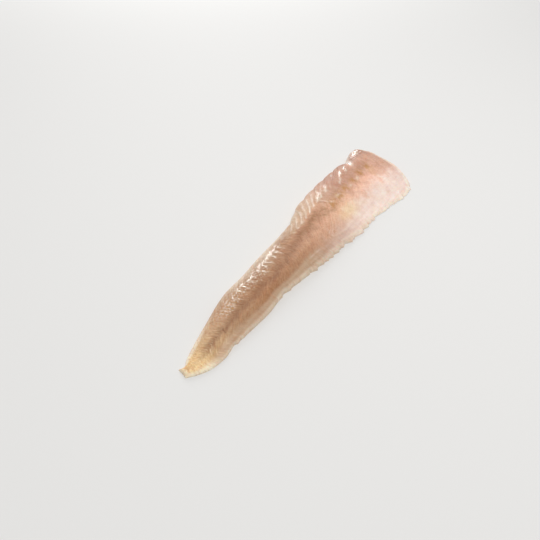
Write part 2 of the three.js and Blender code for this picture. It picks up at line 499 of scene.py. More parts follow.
# %% [markdown]
# ## Flakes
#
# Each block is a flake: it rises steeply out of the muscle line behind it and falls away gently to
# the next. Flakes are bold on the loin and faint on the belly side. Lines on a real fillet are never
# even, so a random wave shifts them, less on the straighter middle part, and every block draws its
# own height.

# %% Flakes
FLAKE_HEIGHT = 0.8
FLAKE_RISE = 0.22
FLAKE_MEAN = 0.4
FLAKE_LEAST = 0.5
LINE_WANDER = 0.16
WANDER_LENGTH = 28
FINE_WANDER = 0.05
FINE_WANDER_LENGTH = 8
WANDER_ALONG = (30, 130)
STRAIGHT_ALONG = (210, 240, 320, 365)
STRAIGHTENING = 0.55
FLAKE_ON_BELLY = 0.16
FLAKE_ON_FLAP = 0.3
FLAKE_AT_TAIL = 0.25
FLAKES_ALONG = (200, 270)
LOIN_BORDER = (0.02, 0.28)
HEAD_LOIN_BORDER = (0.34, 0.6)
HEAD_LOIN_ALONG = (290, 350)
FLAP_BORDER = (0.2, 0.5)
FLAP_START = (240, 320)

loosened = smoothstep(x, *WANDER_ALONG) * (1 - STRAIGHTENING * window_of(x, *STRAIGHT_ALONG))
phase = share * BLOCKS + LINE_WANDER * loosened * ripples(x, y, WANDER_LENGTH, seed=5)
shifted = phase + FINE_WANDER * loosened * ripples(x, y, FINE_WANDER_LENGTH, seed=6)
block = np.floor(shifted)
rise = shifted - block
profile = smoothstep(rise, 0, FLAKE_RISE) * (1 - smoothstep(rise, FLAKE_RISE, 1))

headward = smoothstep(x, *HEAD_LOIN_ALONG)
on_loin = between(smoothstep(across, *LOIN_BORDER), smoothstep(across, *HEAD_LOIN_BORDER), headward)
on_flap = smoothstep(x, *FLAP_START) * smoothstep(belly_side, *FLAP_BORDER)
boldness = between(FLAKE_ON_BELLY, 1, on_loin) * between(1, FLAKE_ON_FLAP, on_flap)
boldness = boldness * between(FLAKE_AT_TAIL, 1, smoothstep(x, *FLAKES_ALONG))
boldness = boldness * (FLAKE_LEAST + draw(block + 0.5))
flakes = FLAKE_HEIGHT * (profile - FLAKE_MEAN) * boldness
print("flakes, mm: from", round(float(flakes.min()), 2), "to", round(float(flakes.max()), 2))

# %% [markdown]
# ## White hooks
#
# On the tail half of the loin the walls between the blocks stand up as thin white hooks: a short arm
# runs across the loin and a longer one slants forward to the back edge. Each hook draws its own place,
# reach and whiteness, because no two are alike. They are geometry, because a glint on a real ridge
# travels with the light, and the same mask later says where the wet film is thick. Their white is
# partly the tissue's own and partly a painted glint, which stays bright where the softbox doesn't
# mirror in them.

# %% White hooks
HOOK_COUNT = 14
HOOK_FIRST = 72
HOOK_SPACING = 9.6
HOOK_JITTER = 1.4
HOOK_CORNER = (0.47, 0.56)
INNER_ARM = (0.6, -0.3)
OUTER_ARM = (15, 0.14)
ARM_REACH = (0.6, 1.1)
LONG_ARMS_ALONG = (120, 155)
SHORT_ARM = 0.45
HOOK_HALF_WIDTH = (0.8, 1.2)
HOOK_WHITE_AND_GLINT = (0.65, 1.0)
HOOK_ALONG = (60, 128, 188, 212)
HOOK_IN_GAPS = 0.3
BREAK_LENGTH = 6
BREAK_SHARE = (-0.9, 0.2)
STROKE_WANDER = 0.8
STROKE_WANDER_LENGTH = 9

wandering_x = x + STROKE_WANDER * ripples(x, y, STROKE_WANDER_LENGTH, seed=22)
wandering_y = y + STROKE_WANDER * ripples(x, y, STROKE_WANDER_LENGTH, seed=23)
unbroken = smoothstep(ripples(x, y, BREAK_LENGTH, seed=21), *BREAK_SHARE)


def on_plan(place_along, place_across):
    """A place on the fillet, given along and across, in millimetres."""
    middle = section["midline"](place_along)
    edge = section["back" if place_across > 0 else "belly"](place_along)
    return place_along, between(middle, edge, abs(place_across))


def stroke(start, end, half_width):
    """1 along a soft, slightly crooked stroke between two places on the fillet, and 0 away from it."""
    start = on_plan(*start)
    end = on_plan(*end)
    run = (end[0] - start[0], end[1] - start[1])
    from_start = (wandering_x - start[0], wandering_y - start[1])
    reached = (from_start[0] * run[0] + from_start[1] * run[1]) / (run[0] ** 2 + run[1] ** 2)
    reached = np.clip(reached, 0, 1)
    return bell(np.hypot(from_start[0] - reached * run[0], from_start[1] - reached * run[1]), half_width)


def hook(number, draws):
    """A bent stroke with an arm across the loin and one towards the back edge."""
    corner_x = HOOK_FIRST + HOOK_SPACING * number + draws.uniform(-HOOK_JITTER, HOOK_JITTER)
    corner = (corner_x, draws.uniform(*HOOK_CORNER))
    inner_reach = draws.uniform(*ARM_REACH)
    outer_reach = draws.uniform(*ARM_REACH)
    outer_reach = outer_reach * between(SHORT_ARM, 1, smoothstep(corner_x, *LONG_ARMS_ALONG))
    inner = (corner[0] + INNER_ARM[0] * inner_reach, corner[1] + INNER_ARM[1] * inner_reach)
    outer = (corner[0] + OUTER_ARM[0] * outer_reach, corner[1] + OUTER_ARM[1] * outer_reach)
    half_width = draws.uniform(*HOOK_HALF_WIDTH)
    arms = np.maximum(stroke(corner, inner, half_width), stroke(corner, outer, half_width))
    return arms * draws.uniform(*HOOK_WHITE_AND_GLINT)


def points_on(mask):
    """How many points a mask covers by more than half."""
    return int((mask > 0.5).sum())


hook_draws = np.random.default_rng(17)
hooks = np.max([hook(number, hook_draws) for number in range(HOOK_COUNT)], axis=0)
hooks = hooks * between(HOOK_IN_GAPS, 1, unbroken) * window_of(x, *HOOK_ALONG)
print("hooks:", HOOK_COUNT, "on", points_on(hooks), "points")

# %% [markdown]
# ## Flecks and stripes
#
# Between the hooks lie clusters of white flecks, partly bits of white tissue and partly painted sparkle
# of the wet film, with orange crumbs among them towards the tail. One wave makes both: its crests are
# the flecks and its hollows the crumbs, so they never overlap. Half way along, the walls lie flat as
# worn white stripes beside the muscle lines, brightest where they end in a drip near the midline. They
# read the flake's own rise, so each follows its flake.

# %% Flecks and stripes
FLECK_LENGTH = 3.3
FLECK_SHARE = (0.0, 1.2)
FLECK_CLUSTER = 13
CLUSTER_SHARE = (-0.7, 0.7)
FLECK_LEAST = 0.6
FLECK_ALONG = (62, 82, 138, 172)
FLECK_ACROSS = (0.1, 0.24, 0.62, 0.8)
FLECK_PATCH = (258, -22)
FLECK_PATCH_RADIUS = (7, 4)
ORANGE_SHARE = (0.5, 1.3)
ORANGE_ALONG = (45, 65, 105, 135)
STRIPE_PLACE = 0.22
STRIPE_HALF_WIDTH = 0.19
STRIPE_DRAW = 7
STRIPE_STRENGTHS = (-0.3, 0.5)
STRIPE_BREAKS = 9
STRIPE_BREAK_SHARE = (-0.9, 0.5)
STRIPE_LEAST = 0.4
STRIPE_ALONG = (220, 245, 302, 365)
STRIPE_ACROSS = (0.2, 0.28, 0.84, 0.97)
DRIP_PLACE = 0.28
DRIP_REACH = 0.04


def dab(middle, radius):
    """1 in the middle of a soft oval spot and 0 away from it; places and radii in millimetres."""
    return np.exp(-(((x - middle[0]) / radius[0]) ** 2 + ((y - middle[1]) / radius[1]) ** 2))


crumbs = ripples(x, y, FLECK_LENGTH, seed=25)
fleck_band = window_of(across, *FLECK_ACROSS)
clusters = smoothstep(ripples(x, y, FLECK_CLUSTER, seed=26), *CLUSTER_SHARE)
flecked = window_of(x, *FLECK_ALONG) * fleck_band * between(FLECK_LEAST, 1, clusters)
flecked = np.maximum(flecked, dab(FLECK_PATCH, FLECK_PATCH_RADIUS))
flecks = smoothstep(crumbs, *FLECK_SHARE) * flecked
orange = smoothstep(-crumbs, *ORANGE_SHARE) * window_of(x, *ORANGE_ALONG) * fleck_band

stripes = bell(rise - STRIPE_PLACE, STRIPE_HALF_WIDTH)
stripes = stripes * smoothstep(draw(block + STRIPE_DRAW), *STRIPE_STRENGTHS)
unworn = smoothstep(ripples(x, y, STRIPE_BREAKS, seed=27), *STRIPE_BREAK_SHARE)
stripes = stripes * between(STRIPE_LEAST, 1, unworn)
stripes = stripes * window_of(x, *STRIPE_ALONG) * window_of(across, *STRIPE_ACROSS)
drips = stripes * bell(across - DRIP_PLACE, DRIP_REACH)
print("points on flecks:", points_on(flecks), "on stripes:", points_on(stripes))

# %% [markdown]
# ## Wet strokes
#
# Towards the head a few long wet strokes lie on the steep side of the flakes. Their pale paint is a
# painted glint, white even where the softbox doesn't mirror in them. They are few, so a list gives each
# its own place, width and strength. Hooks, flecks and strokes together are the ridges.

# %% Wet strokes
STROKE_HEIGHT = 0.55
STROKE_IN_GAPS = 0.5
HOOK_HEIGHT = 0.4
FLECK_HEIGHT = 0.2

# The two ends of each stroke as place along and place across, its half-width in mm, its strength.
STROKES = [
    ((308, 0.28), (323, 0.44), 1.4, 0.8),
    ((331, 0.29), (343, 0.43), 1.7, 0.45),
    ((369, 0.55), (377, 0.64), 1.2, 0.6),
    ((362, 0.13), (388, 0.45), 1.4, 1.0),
    ((394, 0.3), (406, 0.54), 1.7, 1.0),
    ((414, 0.34), (446, 0.9), 2.6, 1.0),
    ((462, 0.68), (471, 0.8), 3.2, 1.0),
]

glint_strokes = np.max([strength * stroke(*ends) for *ends, strength in STROKES], axis=0)
glint_strokes = glint_strokes * between(STROKE_IN_GAPS, 1, unbroken)
ridges = np.maximum(HOOK_HEIGHT * hooks, FLECK_HEIGHT * flecks) + STROKE_HEIGHT * glint_strokes
print("wet strokes:", len(STROKES), "on", points_on(glint_strokes), "points")

# %% [markdown]
# ## Torn layers
#
# The belly flap is made of thin sheets, and the outermost ones have torn back from the edge. Each
# torn sheet is a low step that wanders along the edge. Half way along, its border also shows as a
# pale broken line, with a painted shade line at the foot of the step beside it.

# %% Torn layers
LAYER_PLACES = [-0.75, -0.86, -0.95]
LAYER_STEP = 0.45
LAYER_WANDER = 0.02
LAYER_WANDER_LENGTH = 34
LAYER_SLOPE = 0.025
LAYER_ALONG = (215, 260, 440, 470)
LAYER_SEED = 31
TORN_LINES_ALONG = (185, 215, 275, 320)
TORN_LINE_HALF_WIDTH = 0.025
TORN_LINE_BREAKS = 45
TORN_LINE_SHARE = (-0.4, 0.9)
TORN_LINE_SEED = 41

layers = np.zeros(len(x))
torn_edge = np.zeros(len(x))
torn_gap_shade = np.zeros(len(x))
for number, layer_place in enumerate(LAYER_PLACES):
    edge = layer_place + LAYER_WANDER * ripples(x, 0, LAYER_WANDER_LENGTH, seed=LAYER_SEED + number)
    layers += LAYER_STEP * smoothstep(across, edge - LAYER_SLOPE, edge + LAYER_SLOPE)
    shown = smoothstep(ripples(x, 0, TORN_LINE_BREAKS, seed=TORN_LINE_SEED + number), *TORN_LINE_SHARE)
    torn_edge = np.maximum(torn_edge, shown * bell(across - edge - LAYER_SLOPE, TORN_LINE_HALF_WIDTH))
    torn_gap_shade = np.maximum(torn_gap_shade, shown * bell(across - edge + LAYER_SLOPE, TORN_LINE_HALF_WIDTH))
layers = (layers - LAYER_STEP * len(LAYER_PLACES)) * window_of(x, *LAYER_ALONG)
torn_edge = torn_edge * window_of(x, *TORN_LINES_ALONG)
torn_gap_shade = torn_gap_shade * window_of(x, *TORN_LINES_ALONG)
print("torn layers:", len(LAYER_PLACES), "steps of", LAYER_STEP, "mm")

# %% [markdown]
# ## Marks
#
# A few marks are this fish's own: golden spots along the midline where the pin bones were, three
# pale nodules, a strand of tissue, a yellowish patch of fat on the flank, a golden blush on the tail's
# tip, and a brown spot and a slit in the tail. Each is a soft round or long dab at its own place.

# %% Marks
PIN_BONES = 6
PIN_BONE_ALONG = (311, 433)
PIN_BONE_ACROSS = (-0.14, -0.01)
PIN_BONE_RADIUS = (10, 5)
PIN_BONE_SIZES = (0.7, 1.3)
PIN_BONE_BREAKS = 9
PIN_BONE_BREAK_SHARE = (-1.0, 0.2)
NODULES = [(335, 3.7), (370, 1.1), (394, 1.7)]
NODULE_RADIUS = (4, 2)
FAT_PATCH = (315, -19.5)
FAT_RADIUS = (22, 8)
TIP_BLUSH = (5, -2.8)
TIP_BLUSH_RADIUS = (7, 3)
TAIL_SPOT = (37.5, -3)
TAIL_SPOT_RADIUS = (3.2, 4.5)
STRAND_ENDS = ((307, 0.19), (318, -0.14), 0.8)
SLIT_ENDS = ((55, -0.19), (58.5, -0.07), 0.9)


def pin_bone(number):
    """A golden spot; the spots are spaced evenly along the midline, but differ in length and strength."""
    step = number / (PIN_BONES - 1)
    size = between(*PIN_BONE_SIZES, draw(number + 0.5))
    middle = on_plan(between(*PIN_BONE_ALONG, step), between(*PIN_BONE_ACROSS, step))
    return size * dab(middle, (PIN_BONE_RADIUS[0] * size, PIN_BONE_RADIUS[1]))


pin_bones = np.max([pin_bone(number) for number in range(PIN_BONES)], axis=0)
pin_bones = pin_bones * smoothstep(ripples(x, y, PIN_BONE_BREAKS, seed=24), *PIN_BONE_BREAK_SHARE)
nodules = np.max([dab(middle, NODULE_RADIUS) for middle in NODULES], axis=0)
strand = stroke(*STRAND_ENDS)
slit = stroke(*SLIT_ENDS)
fat_patch = dab(FAT_PATCH, FAT_RADIUS)
tip_blush = dab(TIP_BLUSH, TIP_BLUSH_RADIUS)
tail_spot = dab(TAIL_SPOT, TAIL_SPOT_RADIUS)
print("pin bone spots:", PIN_BONES, "nodules:", len(NODULES))

# %% [markdown]
# ## Lumps and swells
#
# Broad swells keep the surface from looking machined. Small lumps on the loin and on the torn back
# corner, which has a raised lip, break the wet shine into sparkles, and faint strands run along the
# muscle lines everywhere. All relief is lower where the fillet is thin.

# %% Lumps and swells
SWELL_HEIGHT = 0.7
STEEP_WAVE = (0.07, 0.04)
FLAT_WAVE = (0.03, -0.11)
LUMP_HEIGHT = 0.16
LUMP_LENGTH = 6
GRAIN_HEIGHT = 0.06
GRAIN_LENGTH = 2.8
STRAND_HEIGHT = 0.07
STRAND_STRETCH = (12, 6)
STRAND_LENGTH = 3.2
ROUGH_LOIN_ACROSS = (0.02, 0.25)
ROUGH_LOIN_ALONG = (25, 70)
CORNER_ALONG = (415, 428, 478, 488)
CORNER_ACROSS = (0.5, 0.75)
CORNER_LUMP_HEIGHT = 0.4
CORNER_LUMP_LENGTH = 9
LIP = (474, 36)
LIP_RADIUS = (13, 8)
LIP_HEIGHT = 2.2
NODULE_HEIGHT = 0.4
SLIT_DEPTH = 0.9
RELIEF_KNEE = 6

swell = np.sin(STEEP_WAVE[0] * x + STEEP_WAVE[1] * y) * np.sin(FLAT_WAVE[0] * x + FLAT_WAVE[1] * y)
rough_loin = smoothstep(across, *ROUGH_LOIN_ACROSS) * smoothstep(x, *ROUGH_LOIN_ALONG)
lumps = LUMP_HEIGHT * ripples(x, y, LUMP_LENGTH, seed=11)
lumps = lumps + GRAIN_HEIGHT * ripples(x, y, GRAIN_LENGTH, seed=12)
strands = ripples(phase * STRAND_STRETCH[0], across * STRAND_STRETCH[1], STRAND_LENGTH, seed=13)
torn_corner = window_of(x, *CORNER_ALONG) * smoothstep(across, *CORNER_ACROSS)
corner_lumps = CORNER_LUMP_HEIGHT * ripples(x, y, CORNER_LUMP_LENGTH, seed=14) * torn_corner
relief = flakes + ridges + SWELL_HEIGHT * swell + lumps * rough_loin + STRAND_HEIGHT * strands
relief = relief + corner_lumps + LIP_HEIGHT * dab(LIP, LIP_RADIUS)
relief = relief + NODULE_HEIGHT * np.maximum(nodules, strand) - SLIT_DEPTH * slit
relief = relief * loin / (loin + RELIEF_KNEE) + layers
z = np.maximum(crown + relief, 0) * rounding
print("relief, mm: from", round(float(relief.min()), 2), "to", round(float(relief.max()), 2))

# %% [markdown]
# ## What the finish needs to know
#
# The finish paints what the form has shaped: white tissue with painted glints, golden, fatty and brown
# marks with a thin painted shade line, and a film of water. Each becomes one mask, in which the shapes
# above are added up by their strengths. The head cut is dry and pale on its rim. The tail's cut face
# turns away from the lamps, so its rim is painted pale and a little yellow as painted light.

# %% Masks for the finish
HEAD_RIM = (-0.3, 0.15, 0.7, 1.0)
TAIL_RIM_LIGHT = (0.35, 0.8)


def mixed(*parts):
    """Shapes added up by their strengths, never more than 1."""
    return np.clip(sum(strength * shape for shape, strength in parts), 0, 1)


head_rim = window_of(head_reach, *HEAD_RIM)
painted_light_tail_rim = smoothstep(tail_reach, *TAIL_RIM_LIGHT)
attributes = {
    "across": across,
    "phase": phase,
    "film": mixed(
        (hooks, 0.65), (flecks, 0.25), (glint_strokes, 1.0), (stripes, 0.25), (drips, 0.5),
        (torn_corner, 0.4), (nodules, 0.3),
    ),
    # Pale is partly white tissue and dry rims, and partly painted glints on hooks, flecks and strokes and
    # painted light on the tail's rim.
    "pale": mixed(
        (stripes, 0.45), (drips, 0.4), (glint_strokes, 0.75), (hooks, 0.8), (flecks, 0.45), (nodules, 0.4),
        (strand, 0.5), (torn_edge, 0.22), (head_rim, 0.5), (painted_light_tail_rim, 0.45),
    ),
    "golden": mixed((pin_bones, 1.3), (orange, 0.85), (tip_blush, 0.35)),
    # Fat and the tail's rim share one yellow; on the rim it is painted light on the shaded cut face.
    "fat_and_rim_light": np.maximum(fat_patch, painted_light_tail_rim),
    # Brown spot and slit of the tail, with a thin painted shade line at the foot of the torn steps.
    "brown_and_gap_shade": mixed((tail_spot, 0.4), (slit, 1.0), (torn_gap_shade, 0.08)),
}
print("points under film:", points_on(attributes["film"]), "pale:", points_on(attributes["pale"]))

# %% [markdown]
# ## Closing the piece
#
# The grid's four sides all lie on the floor now, so one flat face closes the underside. Each point
# keeps its place across, its muscle line and its masks as attributes, which the finish reads later;
# its place along can be read from its coordinates. The corners of the flat face are marked, because
# the underside has no muscle lines. The whole is moved so that its box has the same middle and the
# same foot as the construction model.

# %% Close and place
def close_and_place():
    layers_of = {name: form.verts.layers.float.new(name) for name in attributes}
    middle = ((x.max() + x.min()) / 2, (y.max() + y.min()) / 2)
    for i, vert in enumerate(form.verts):
        vert.co = ((x[i] - middle[0]) * MM, (y[i] - middle[1]) * MM, z[i] * MM)
        for name, layer in layers_of.items():
            vert[layer] = attributes[name][i]
    for face in form.faces:
        face.smooth = True
    rim_edges = [edge for edge in form.edges if edge.is_boundary]
    for edge in rim_edges:
        edge.smooth = False
    foot = bmesh.ops.contextual_create(form, geom=rim_edges)["faces"]
    bmesh.ops.recalc_face_normals(form, faces=form.faces)
    under = form.loops.layers.float.new("under")
    for corner in [corner for face in foot for corner in face.loops]:
        corner[under] = 1.0
    bmesh.ops.triangulate(form, faces=foot)
    cad_middle = (cad_low + cad_high) / 2
    bmesh.ops.translate(form, verts=form.verts, vec=(cad_middle.x, cad_middle.y, cad_low.z))
    mesh = bpy.data.meshes.new("ling_fillet")
    form.to_mesh(mesh)
    form.free()
    piece = bpy.data.objects.new("ling_fillet", mesh)
    bpy.context.collection.objects.link(piece)
    return piece


fillet = close_and_place()
print("faces:", len(fillet.data.polygons))

# %% [markdown]
# ## Flesh
#
# Raw ling is pale and slightly clear, golden at the thin tail, tan along the loin, brown on the
# midline and nearly white on the belly flap. A picture could be painted for it, but a few named
# colours blended by the place along and across stay true from every side. A few helpers keep the
# many small nodes readable.

# %% Node helpers
flesh = bpy.data.materials.new("raw flesh")
flesh.use_nodes = True
tree = flesh.node_tree
shader = tree.nodes["Principled BSDF"]


def plug(value, socket):
    """Links an output, or sets a plain number or colour."""
    if isinstance(value, bpy.types.NodeSocket):
        tree.links.new(value, socket)
    else:
        socket.default_value = value


def reading(name):
    node = tree.nodes.new("ShaderNodeAttribute")
    node.attribute_name = name
    return node.outputs["Fac"]


def calc(operation, *values, kind="ShaderNodeMath"):
    node = tree.nodes.new(kind)
    node.operation = operation
    for value, socket in zip(values, node.inputs):
        plug(value, socket)
    return node.outputs[0]


def plus(*values):
    return reduce(lambda total, value: calc("ADD", total, value), values)


def times(*values):
    return reduce(lambda total, value: calc("MULTIPLY", total, value), values)


def rest_of(value):
    """What a share leaves of 1."""
    return calc("SUBTRACT", 1.0, value)


def ramp(value, start, end):
    """0 at start and 1 at end, eased between them; start may be the higher one."""
    node = tree.nodes.new("ShaderNodeMapRange")
    node.interpolation_type = "SMOOTHSTEP"
    plug(value, node.inputs["Value"])
    flip = start > end
    node.inputs["From Min"].default_value = min(start, end)
    node.inputs["From Max"].default_value = max(start, end)
    node.inputs["To Min"].default_value = 1.0 if flip else 0.0
    node.inputs["To Max"].default_value = 0.0 if flip else 1.0
    return node.outputs["Result"]


def band(value, middle, half_width, core=0.0):
    """1 in the middle of a band, as far as its core reaches, and 0 outside the band."""
    return ramp(calc("ABSOLUTE", calc("SUBTRACT", value, middle)), half_width, core)


def blend(mask, under, over):
    node = tree.nodes.new("ShaderNodeMix")
    node.data_type = "RGBA"
    plug(mask, node.inputs["Factor"])
    plug(under, node.inputs["A"])
    plug(over, node.inputs["B"])
    return node.outputs["Result"]


def gradient(value, *stops):
    """A colour that runs through the stops in order; each stop is a place and a colour."""
    node = tree.nodes.new("ShaderNodeValToRGB")
    plug(value, node.inputs["Fac"])
    elements = node.color_ramp.elements
    for place, _ in stops[1:-1]:
        elements.new(place)
    for element, (place, colour) in zip(elements, stops):
        element.position = place
        element.color = colour
    return node.outputs["Color"]


def noise(vector, scale, detail):
    node = tree.nodes.new("ShaderNodeTexNoise")
    node.inputs["Scale"].default_value = scale
    node.inputs["Detail"].default_value = detail
    plug(vector, node.inputs["Vector"])
    return node.outputs["Fac"]


def centred(value, reach):
    """A noise between 0 and 1 as an offset between about -reach and +reach."""
    return calc("MULTIPLY", calc("SUBTRACT", value, 0.5), 2 * reach)


print("node helpers ready")

# %% [markdown]
# Every colour depends on the place. The place along comes from the coordinates: 0 just inside the
# tail and 1 at the head cut. The place across and the muscle line come from the attributes. The
# underside has neither lines nor marks, so all of it takes one place across.

# %% Places to read
UNDERSIDE_PLACE = -0.3

under = reading("under")
on_top = rest_of(under)
object_place = tree.nodes.new("ShaderNodeTexCoord").outputs["Object"]
parted = tree.nodes.new("ShaderNodeSeparateXYZ")
plug(object_place, parted.inputs["Vector"])
along = calc("DIVIDE", parted.outputs["X"], HEAD_CUT * MM)
along = plus(along, (HEAD_CUT + TAIL_CUT) / 2 / HEAD_CUT)
sideways = plus(times(reading("across"), on_top), times(under, UNDERSIDE_PLACE))
line_phase = times(reading("phase"), on_top)


def mark(name):
    """The strength of a mark; the underside has none."""
    return times(reading(name), on_top)


def stretched(stretch):
    """Object coordinates scaled by a stretch, so that a noise grows longer where it is below 1."""
    node = tree.nodes.new("ShaderNodeMapping")
    node.inputs["Scale"].default_value = stretch
    plug(object_place, node.inputs["Vector"])
    return node.outputs["Vector"]


def along_lines(stretch):
    """The muscle line's number and the place across as coordinates, scaled by a stretch."""
    node = tree.nodes.new("ShaderNodeCombineXYZ")
    plug(times(line_phase, stretch[0]), node.inputs["X"])
    plug(times(sideways, stretch[1]), node.inputs["Y"])
    return node.outputs["Vector"]


print("places read:", [node.attribute_name for node in tree.nodes if node.type == "ATTRIBUTE"])

# %% [markdown]
# The colour runs along the fillet in gradients, one for the flank, one for the loin and later one for
# the rim. Soft noise shifts the borders between them, as the real tones have no straight borders. A
# darker tan shoulder towards the head is painted shade on the slope that the window softbox lights, a
# pale strip along the back slope towards the tail is a painted sheen, and tan smudges on the flank lie
# over them.

# %% Flank and loin
TIP_CREAM = to_linear(248, 211, 158)
TAIL_GOLD = to_linear(236, 196, 142)
TAIL_TAN = to_linear(198, 160, 118)
OLIVE_TAN = to_linear(181, 144, 110)
FLANK_BROWN = to_linear(174, 127, 92)
FLANK_TAN = to_linear(184, 139, 107)
SALMON = to_linear(213, 164, 134)
ROSE = to_linear(232, 184, 155)
PINK = to_linear(243, 194, 170)
LOIN_SAND = to_linear(208, 171, 130)
LOIN_TAN = to_linear(195, 156, 125)
LOIN_BROWN = to_linear(174, 134, 103)
PALE_TAN = to_linear(207, 173, 144)
LOIN_MAUVE = to_linear(208, 162, 140)
HEAD_ROSE = to_linear(210, 163, 139)
END_ROSE = to_linear(206, 162, 140)
SHOULDER_SHADE_TAN = to_linear(178, 135, 116)
SHEEN_TAN = to_linear(216, 192, 171)
SMUDGE_TAN = to_linear(216, 168, 130)

ZONE_DRIFT = 0.3
DRIFT_SCALE = 28
FINE_DRIFT = 0.22
FINE_DRIFT_SCALE = 80
DRIFT_ALONG = 0.12
LOIN_EDGE = (0.05, 0.45)
LOIN_SPREAD = 0.42
LOIN_ALONG = (0.58, 0.72)
LOIN_FADE = (1.1, 0.76)
SHOULDER_EDGE = (0.24, 0.6)
SHOULDER_ALONG = (0.6, 0.8)
SHOULDER_STRENGTH = 0.75
STRIP_EDGE = (0.42, 0.78)
STRIP_ALONG = (0.17, 0.26)
STRIP_FADE = (0.5, 0.44)
STRIP_STRENGTH = 0.7
SMUDGE_SCALE = 46
SMUDGE_SHARE = (0.5, 0.66)
SMUDGE_ALONG = (0.58, 0.72)
SMUDGE_PLACE = -0.26
SMUDGE_REACH = 0.5
SMUDGE_STRENGTH = 0.55

drift = centred(noise(object_place, DRIFT_SCALE, detail=3), ZONE_DRIFT)
fine_drift = centred(noise(object_place, FINE_DRIFT_SCALE, detail=2), FINE_DRIFT)
wander = plus(sideways, drift, fine_drift)
far = plus(along, times(drift, DRIFT_ALONG))
flank_colour = gradient(
    far, (0.02, TIP_CREAM), (0.06, TAIL_TAN), (0.125, OLIVE_TAN), (0.25, FLANK_BROWN), (0.37, FLANK_TAN),
    (0.52, SALMON), (0.66, ROSE), (0.84, PINK), (0.96, END_ROSE),
)
loin_colour = gradient(
    far, (0.02, TAIL_GOLD), (0.07, LOIN_SAND), (0.14, LOIN_TAN), (0.25, LOIN_BROWN), (0.4, LOIN_BROWN),
    (0.56, PALE_TAN), (0.72, LOIN_MAUVE), (0.87, HEAD_ROSE),
)
loin_reach = plus(wander, times(ramp(along, *LOIN_ALONG), ramp(along, *LOIN_FADE), LOIN_SPREAD))
colour = blend(ramp(loin_reach, *LOIN_EDGE), flank_colour, loin_colour)
# Painted shade on the back slope near the head, then a painted sheen on the back slope towards the tail.
shoulder_shade = times(ramp(wander, *SHOULDER_EDGE), ramp(along, *SHOULDER_ALONG), SHOULDER_STRENGTH)
colour = blend(shoulder_shade, colour, SHOULDER_SHADE_TAN)
sheen_strip = times(ramp(wander, *STRIP_EDGE), ramp(along, *STRIP_ALONG), ramp(along, *STRIP_FADE))
colour = blend(times(sheen_strip, STRIP_STRENGTH), colour, SHEEN_TAN)
smudges = ramp(noise(object_place, SMUDGE_SCALE, detail=3), *SMUDGE_SHARE)
smudges = times(smudges, ramp(along, *SMUDGE_ALONG), band(sideways, SMUDGE_PLACE, SMUDGE_REACH))
colour = blend(times(smudges, SMUDGE_STRENGTH), colour, SMUDGE_TAN)
print("flank and loin blended")

# %% [markdown]
# The rim along the belly edge widens into the pale flap. Its cream by the tail is partly the edge's own
# and partly painted light on the shaded edge, and towards the head cut the flap darkens as painted
# shade. Its border is crisp for a stretch, where the crease runs beside it, and soft elsewhere, so two
# borders are mixed by the place along.

# %% Rim and flap
TAIL_CREAM = to_linear(255, 236, 204)
RIM_BEIGE = to_linear(196, 163, 135)
RIM_ROSE = to_linear(209, 174, 154)
FLAP_CREAM = to_linear(253, 227, 214)
FLAP_SHADE_ROSE = to_linear(243, 216, 204)
CRISP_EDGE = (-0.6, -0.76)
SOFT_EDGE = (-0.42, -0.85)
CRISP_PLACE = 0.33
CRISP_REACH = 0.2
CRISP_CORE = 0.1
RIM_DRIFT = 0.5
FLAP_SPREAD = -0.17
FLAP_ALONG = (0.5, 0.72)

rim_colour = gradient(
    far, (0.035, TAIL_CREAM), (0.065, PALE_TAN), (0.13, RIM_BEIGE), (0.4, RIM_BEIGE), (0.5, RIM_ROSE),
    (0.66, FLAP_CREAM), (0.84, FLAP_CREAM), (0.92, FLAP_SHADE_ROSE),
)
flap_reach = plus(sideways, times(drift, RIM_DRIFT), times(ramp(along, *FLAP_ALONG), FLAP_SPREAD))
crisp = band(along, CRISP_PLACE, CRISP_REACH, CRISP_CORE)
crisp_rim = times(ramp(flap_reach, *CRISP_EDGE), crisp)
soft_rim = times(ramp(plus(flap_reach, fine_drift), *SOFT_EDGE), rest_of(crisp))
rim_mask = plus(crisp_rim, soft_rim)
colour = blend(rim_mask, colour, rim_colour)
print("rim blended")

# %% [markdown]
# The midline is brown towards the tail and goes on as a broken golden-brown line. The very edges are
# pale, partly from their dry tone and partly as painted light on the rounded edges that turn from the
# lamps, more so on the tail and less just ahead of it. The marks lie on top.

# %% Midline, edges and marks
MIDLINE_BROWN = to_linear(146, 104, 76)
LINE_BROWN = to_linear(160, 118, 82)
DRY_AND_LIT_EDGE_PALE = to_linear(248, 231, 208)
PALE_AND_GLINT_WHITE = to_linear(254, 240, 222)
PIN_GOLD = to_linear(192, 140, 88)
FAT_AND_RIM_LIGHT_YELLOW = to_linear(250, 222, 172)
MIDLINE_PLACE = -0.04
MIDLINE_HALF_WIDTH = 0.36
MIDLINE_STRENGTH = 0.6
MIDLINE_ALONG = (-0.02, 0.11)
MIDLINE_FADE = (0.66, 0.46)
LINE_HALF_WIDTH = 0.25
LINE_STRENGTH = 0.7
LINE_BREAK_SCALE = 240
LINE_BREAKS = (0.3, 0.66)
LINE_ALONG = (0.42, 0.5)
LINE_FADE = (0.76, 0.6)
BACK_EDGE = (0.76, 1.0)
BELLY_EDGE = (-0.86, -0.99)
EDGE_STRENGTH = 0.6
TAIL_EDGE_FADE = (0.13, 0.06)
TAIL_EDGE_GAIN = 0.35
TAIL_EDGE_SPREAD = 0.08
EDGE_DIP_PLACE = 0.165
EDGE_DIP_REACH = 0.12
EDGE_DIP = -0.4
HALF_EDGE_FADE = (0.54, 0.46)
HALF_EDGE_SPREAD = 0.08
GOLD_STRENGTH = 0.9
FAT_AND_RIM_LIGHT_STRENGTH = 0.55

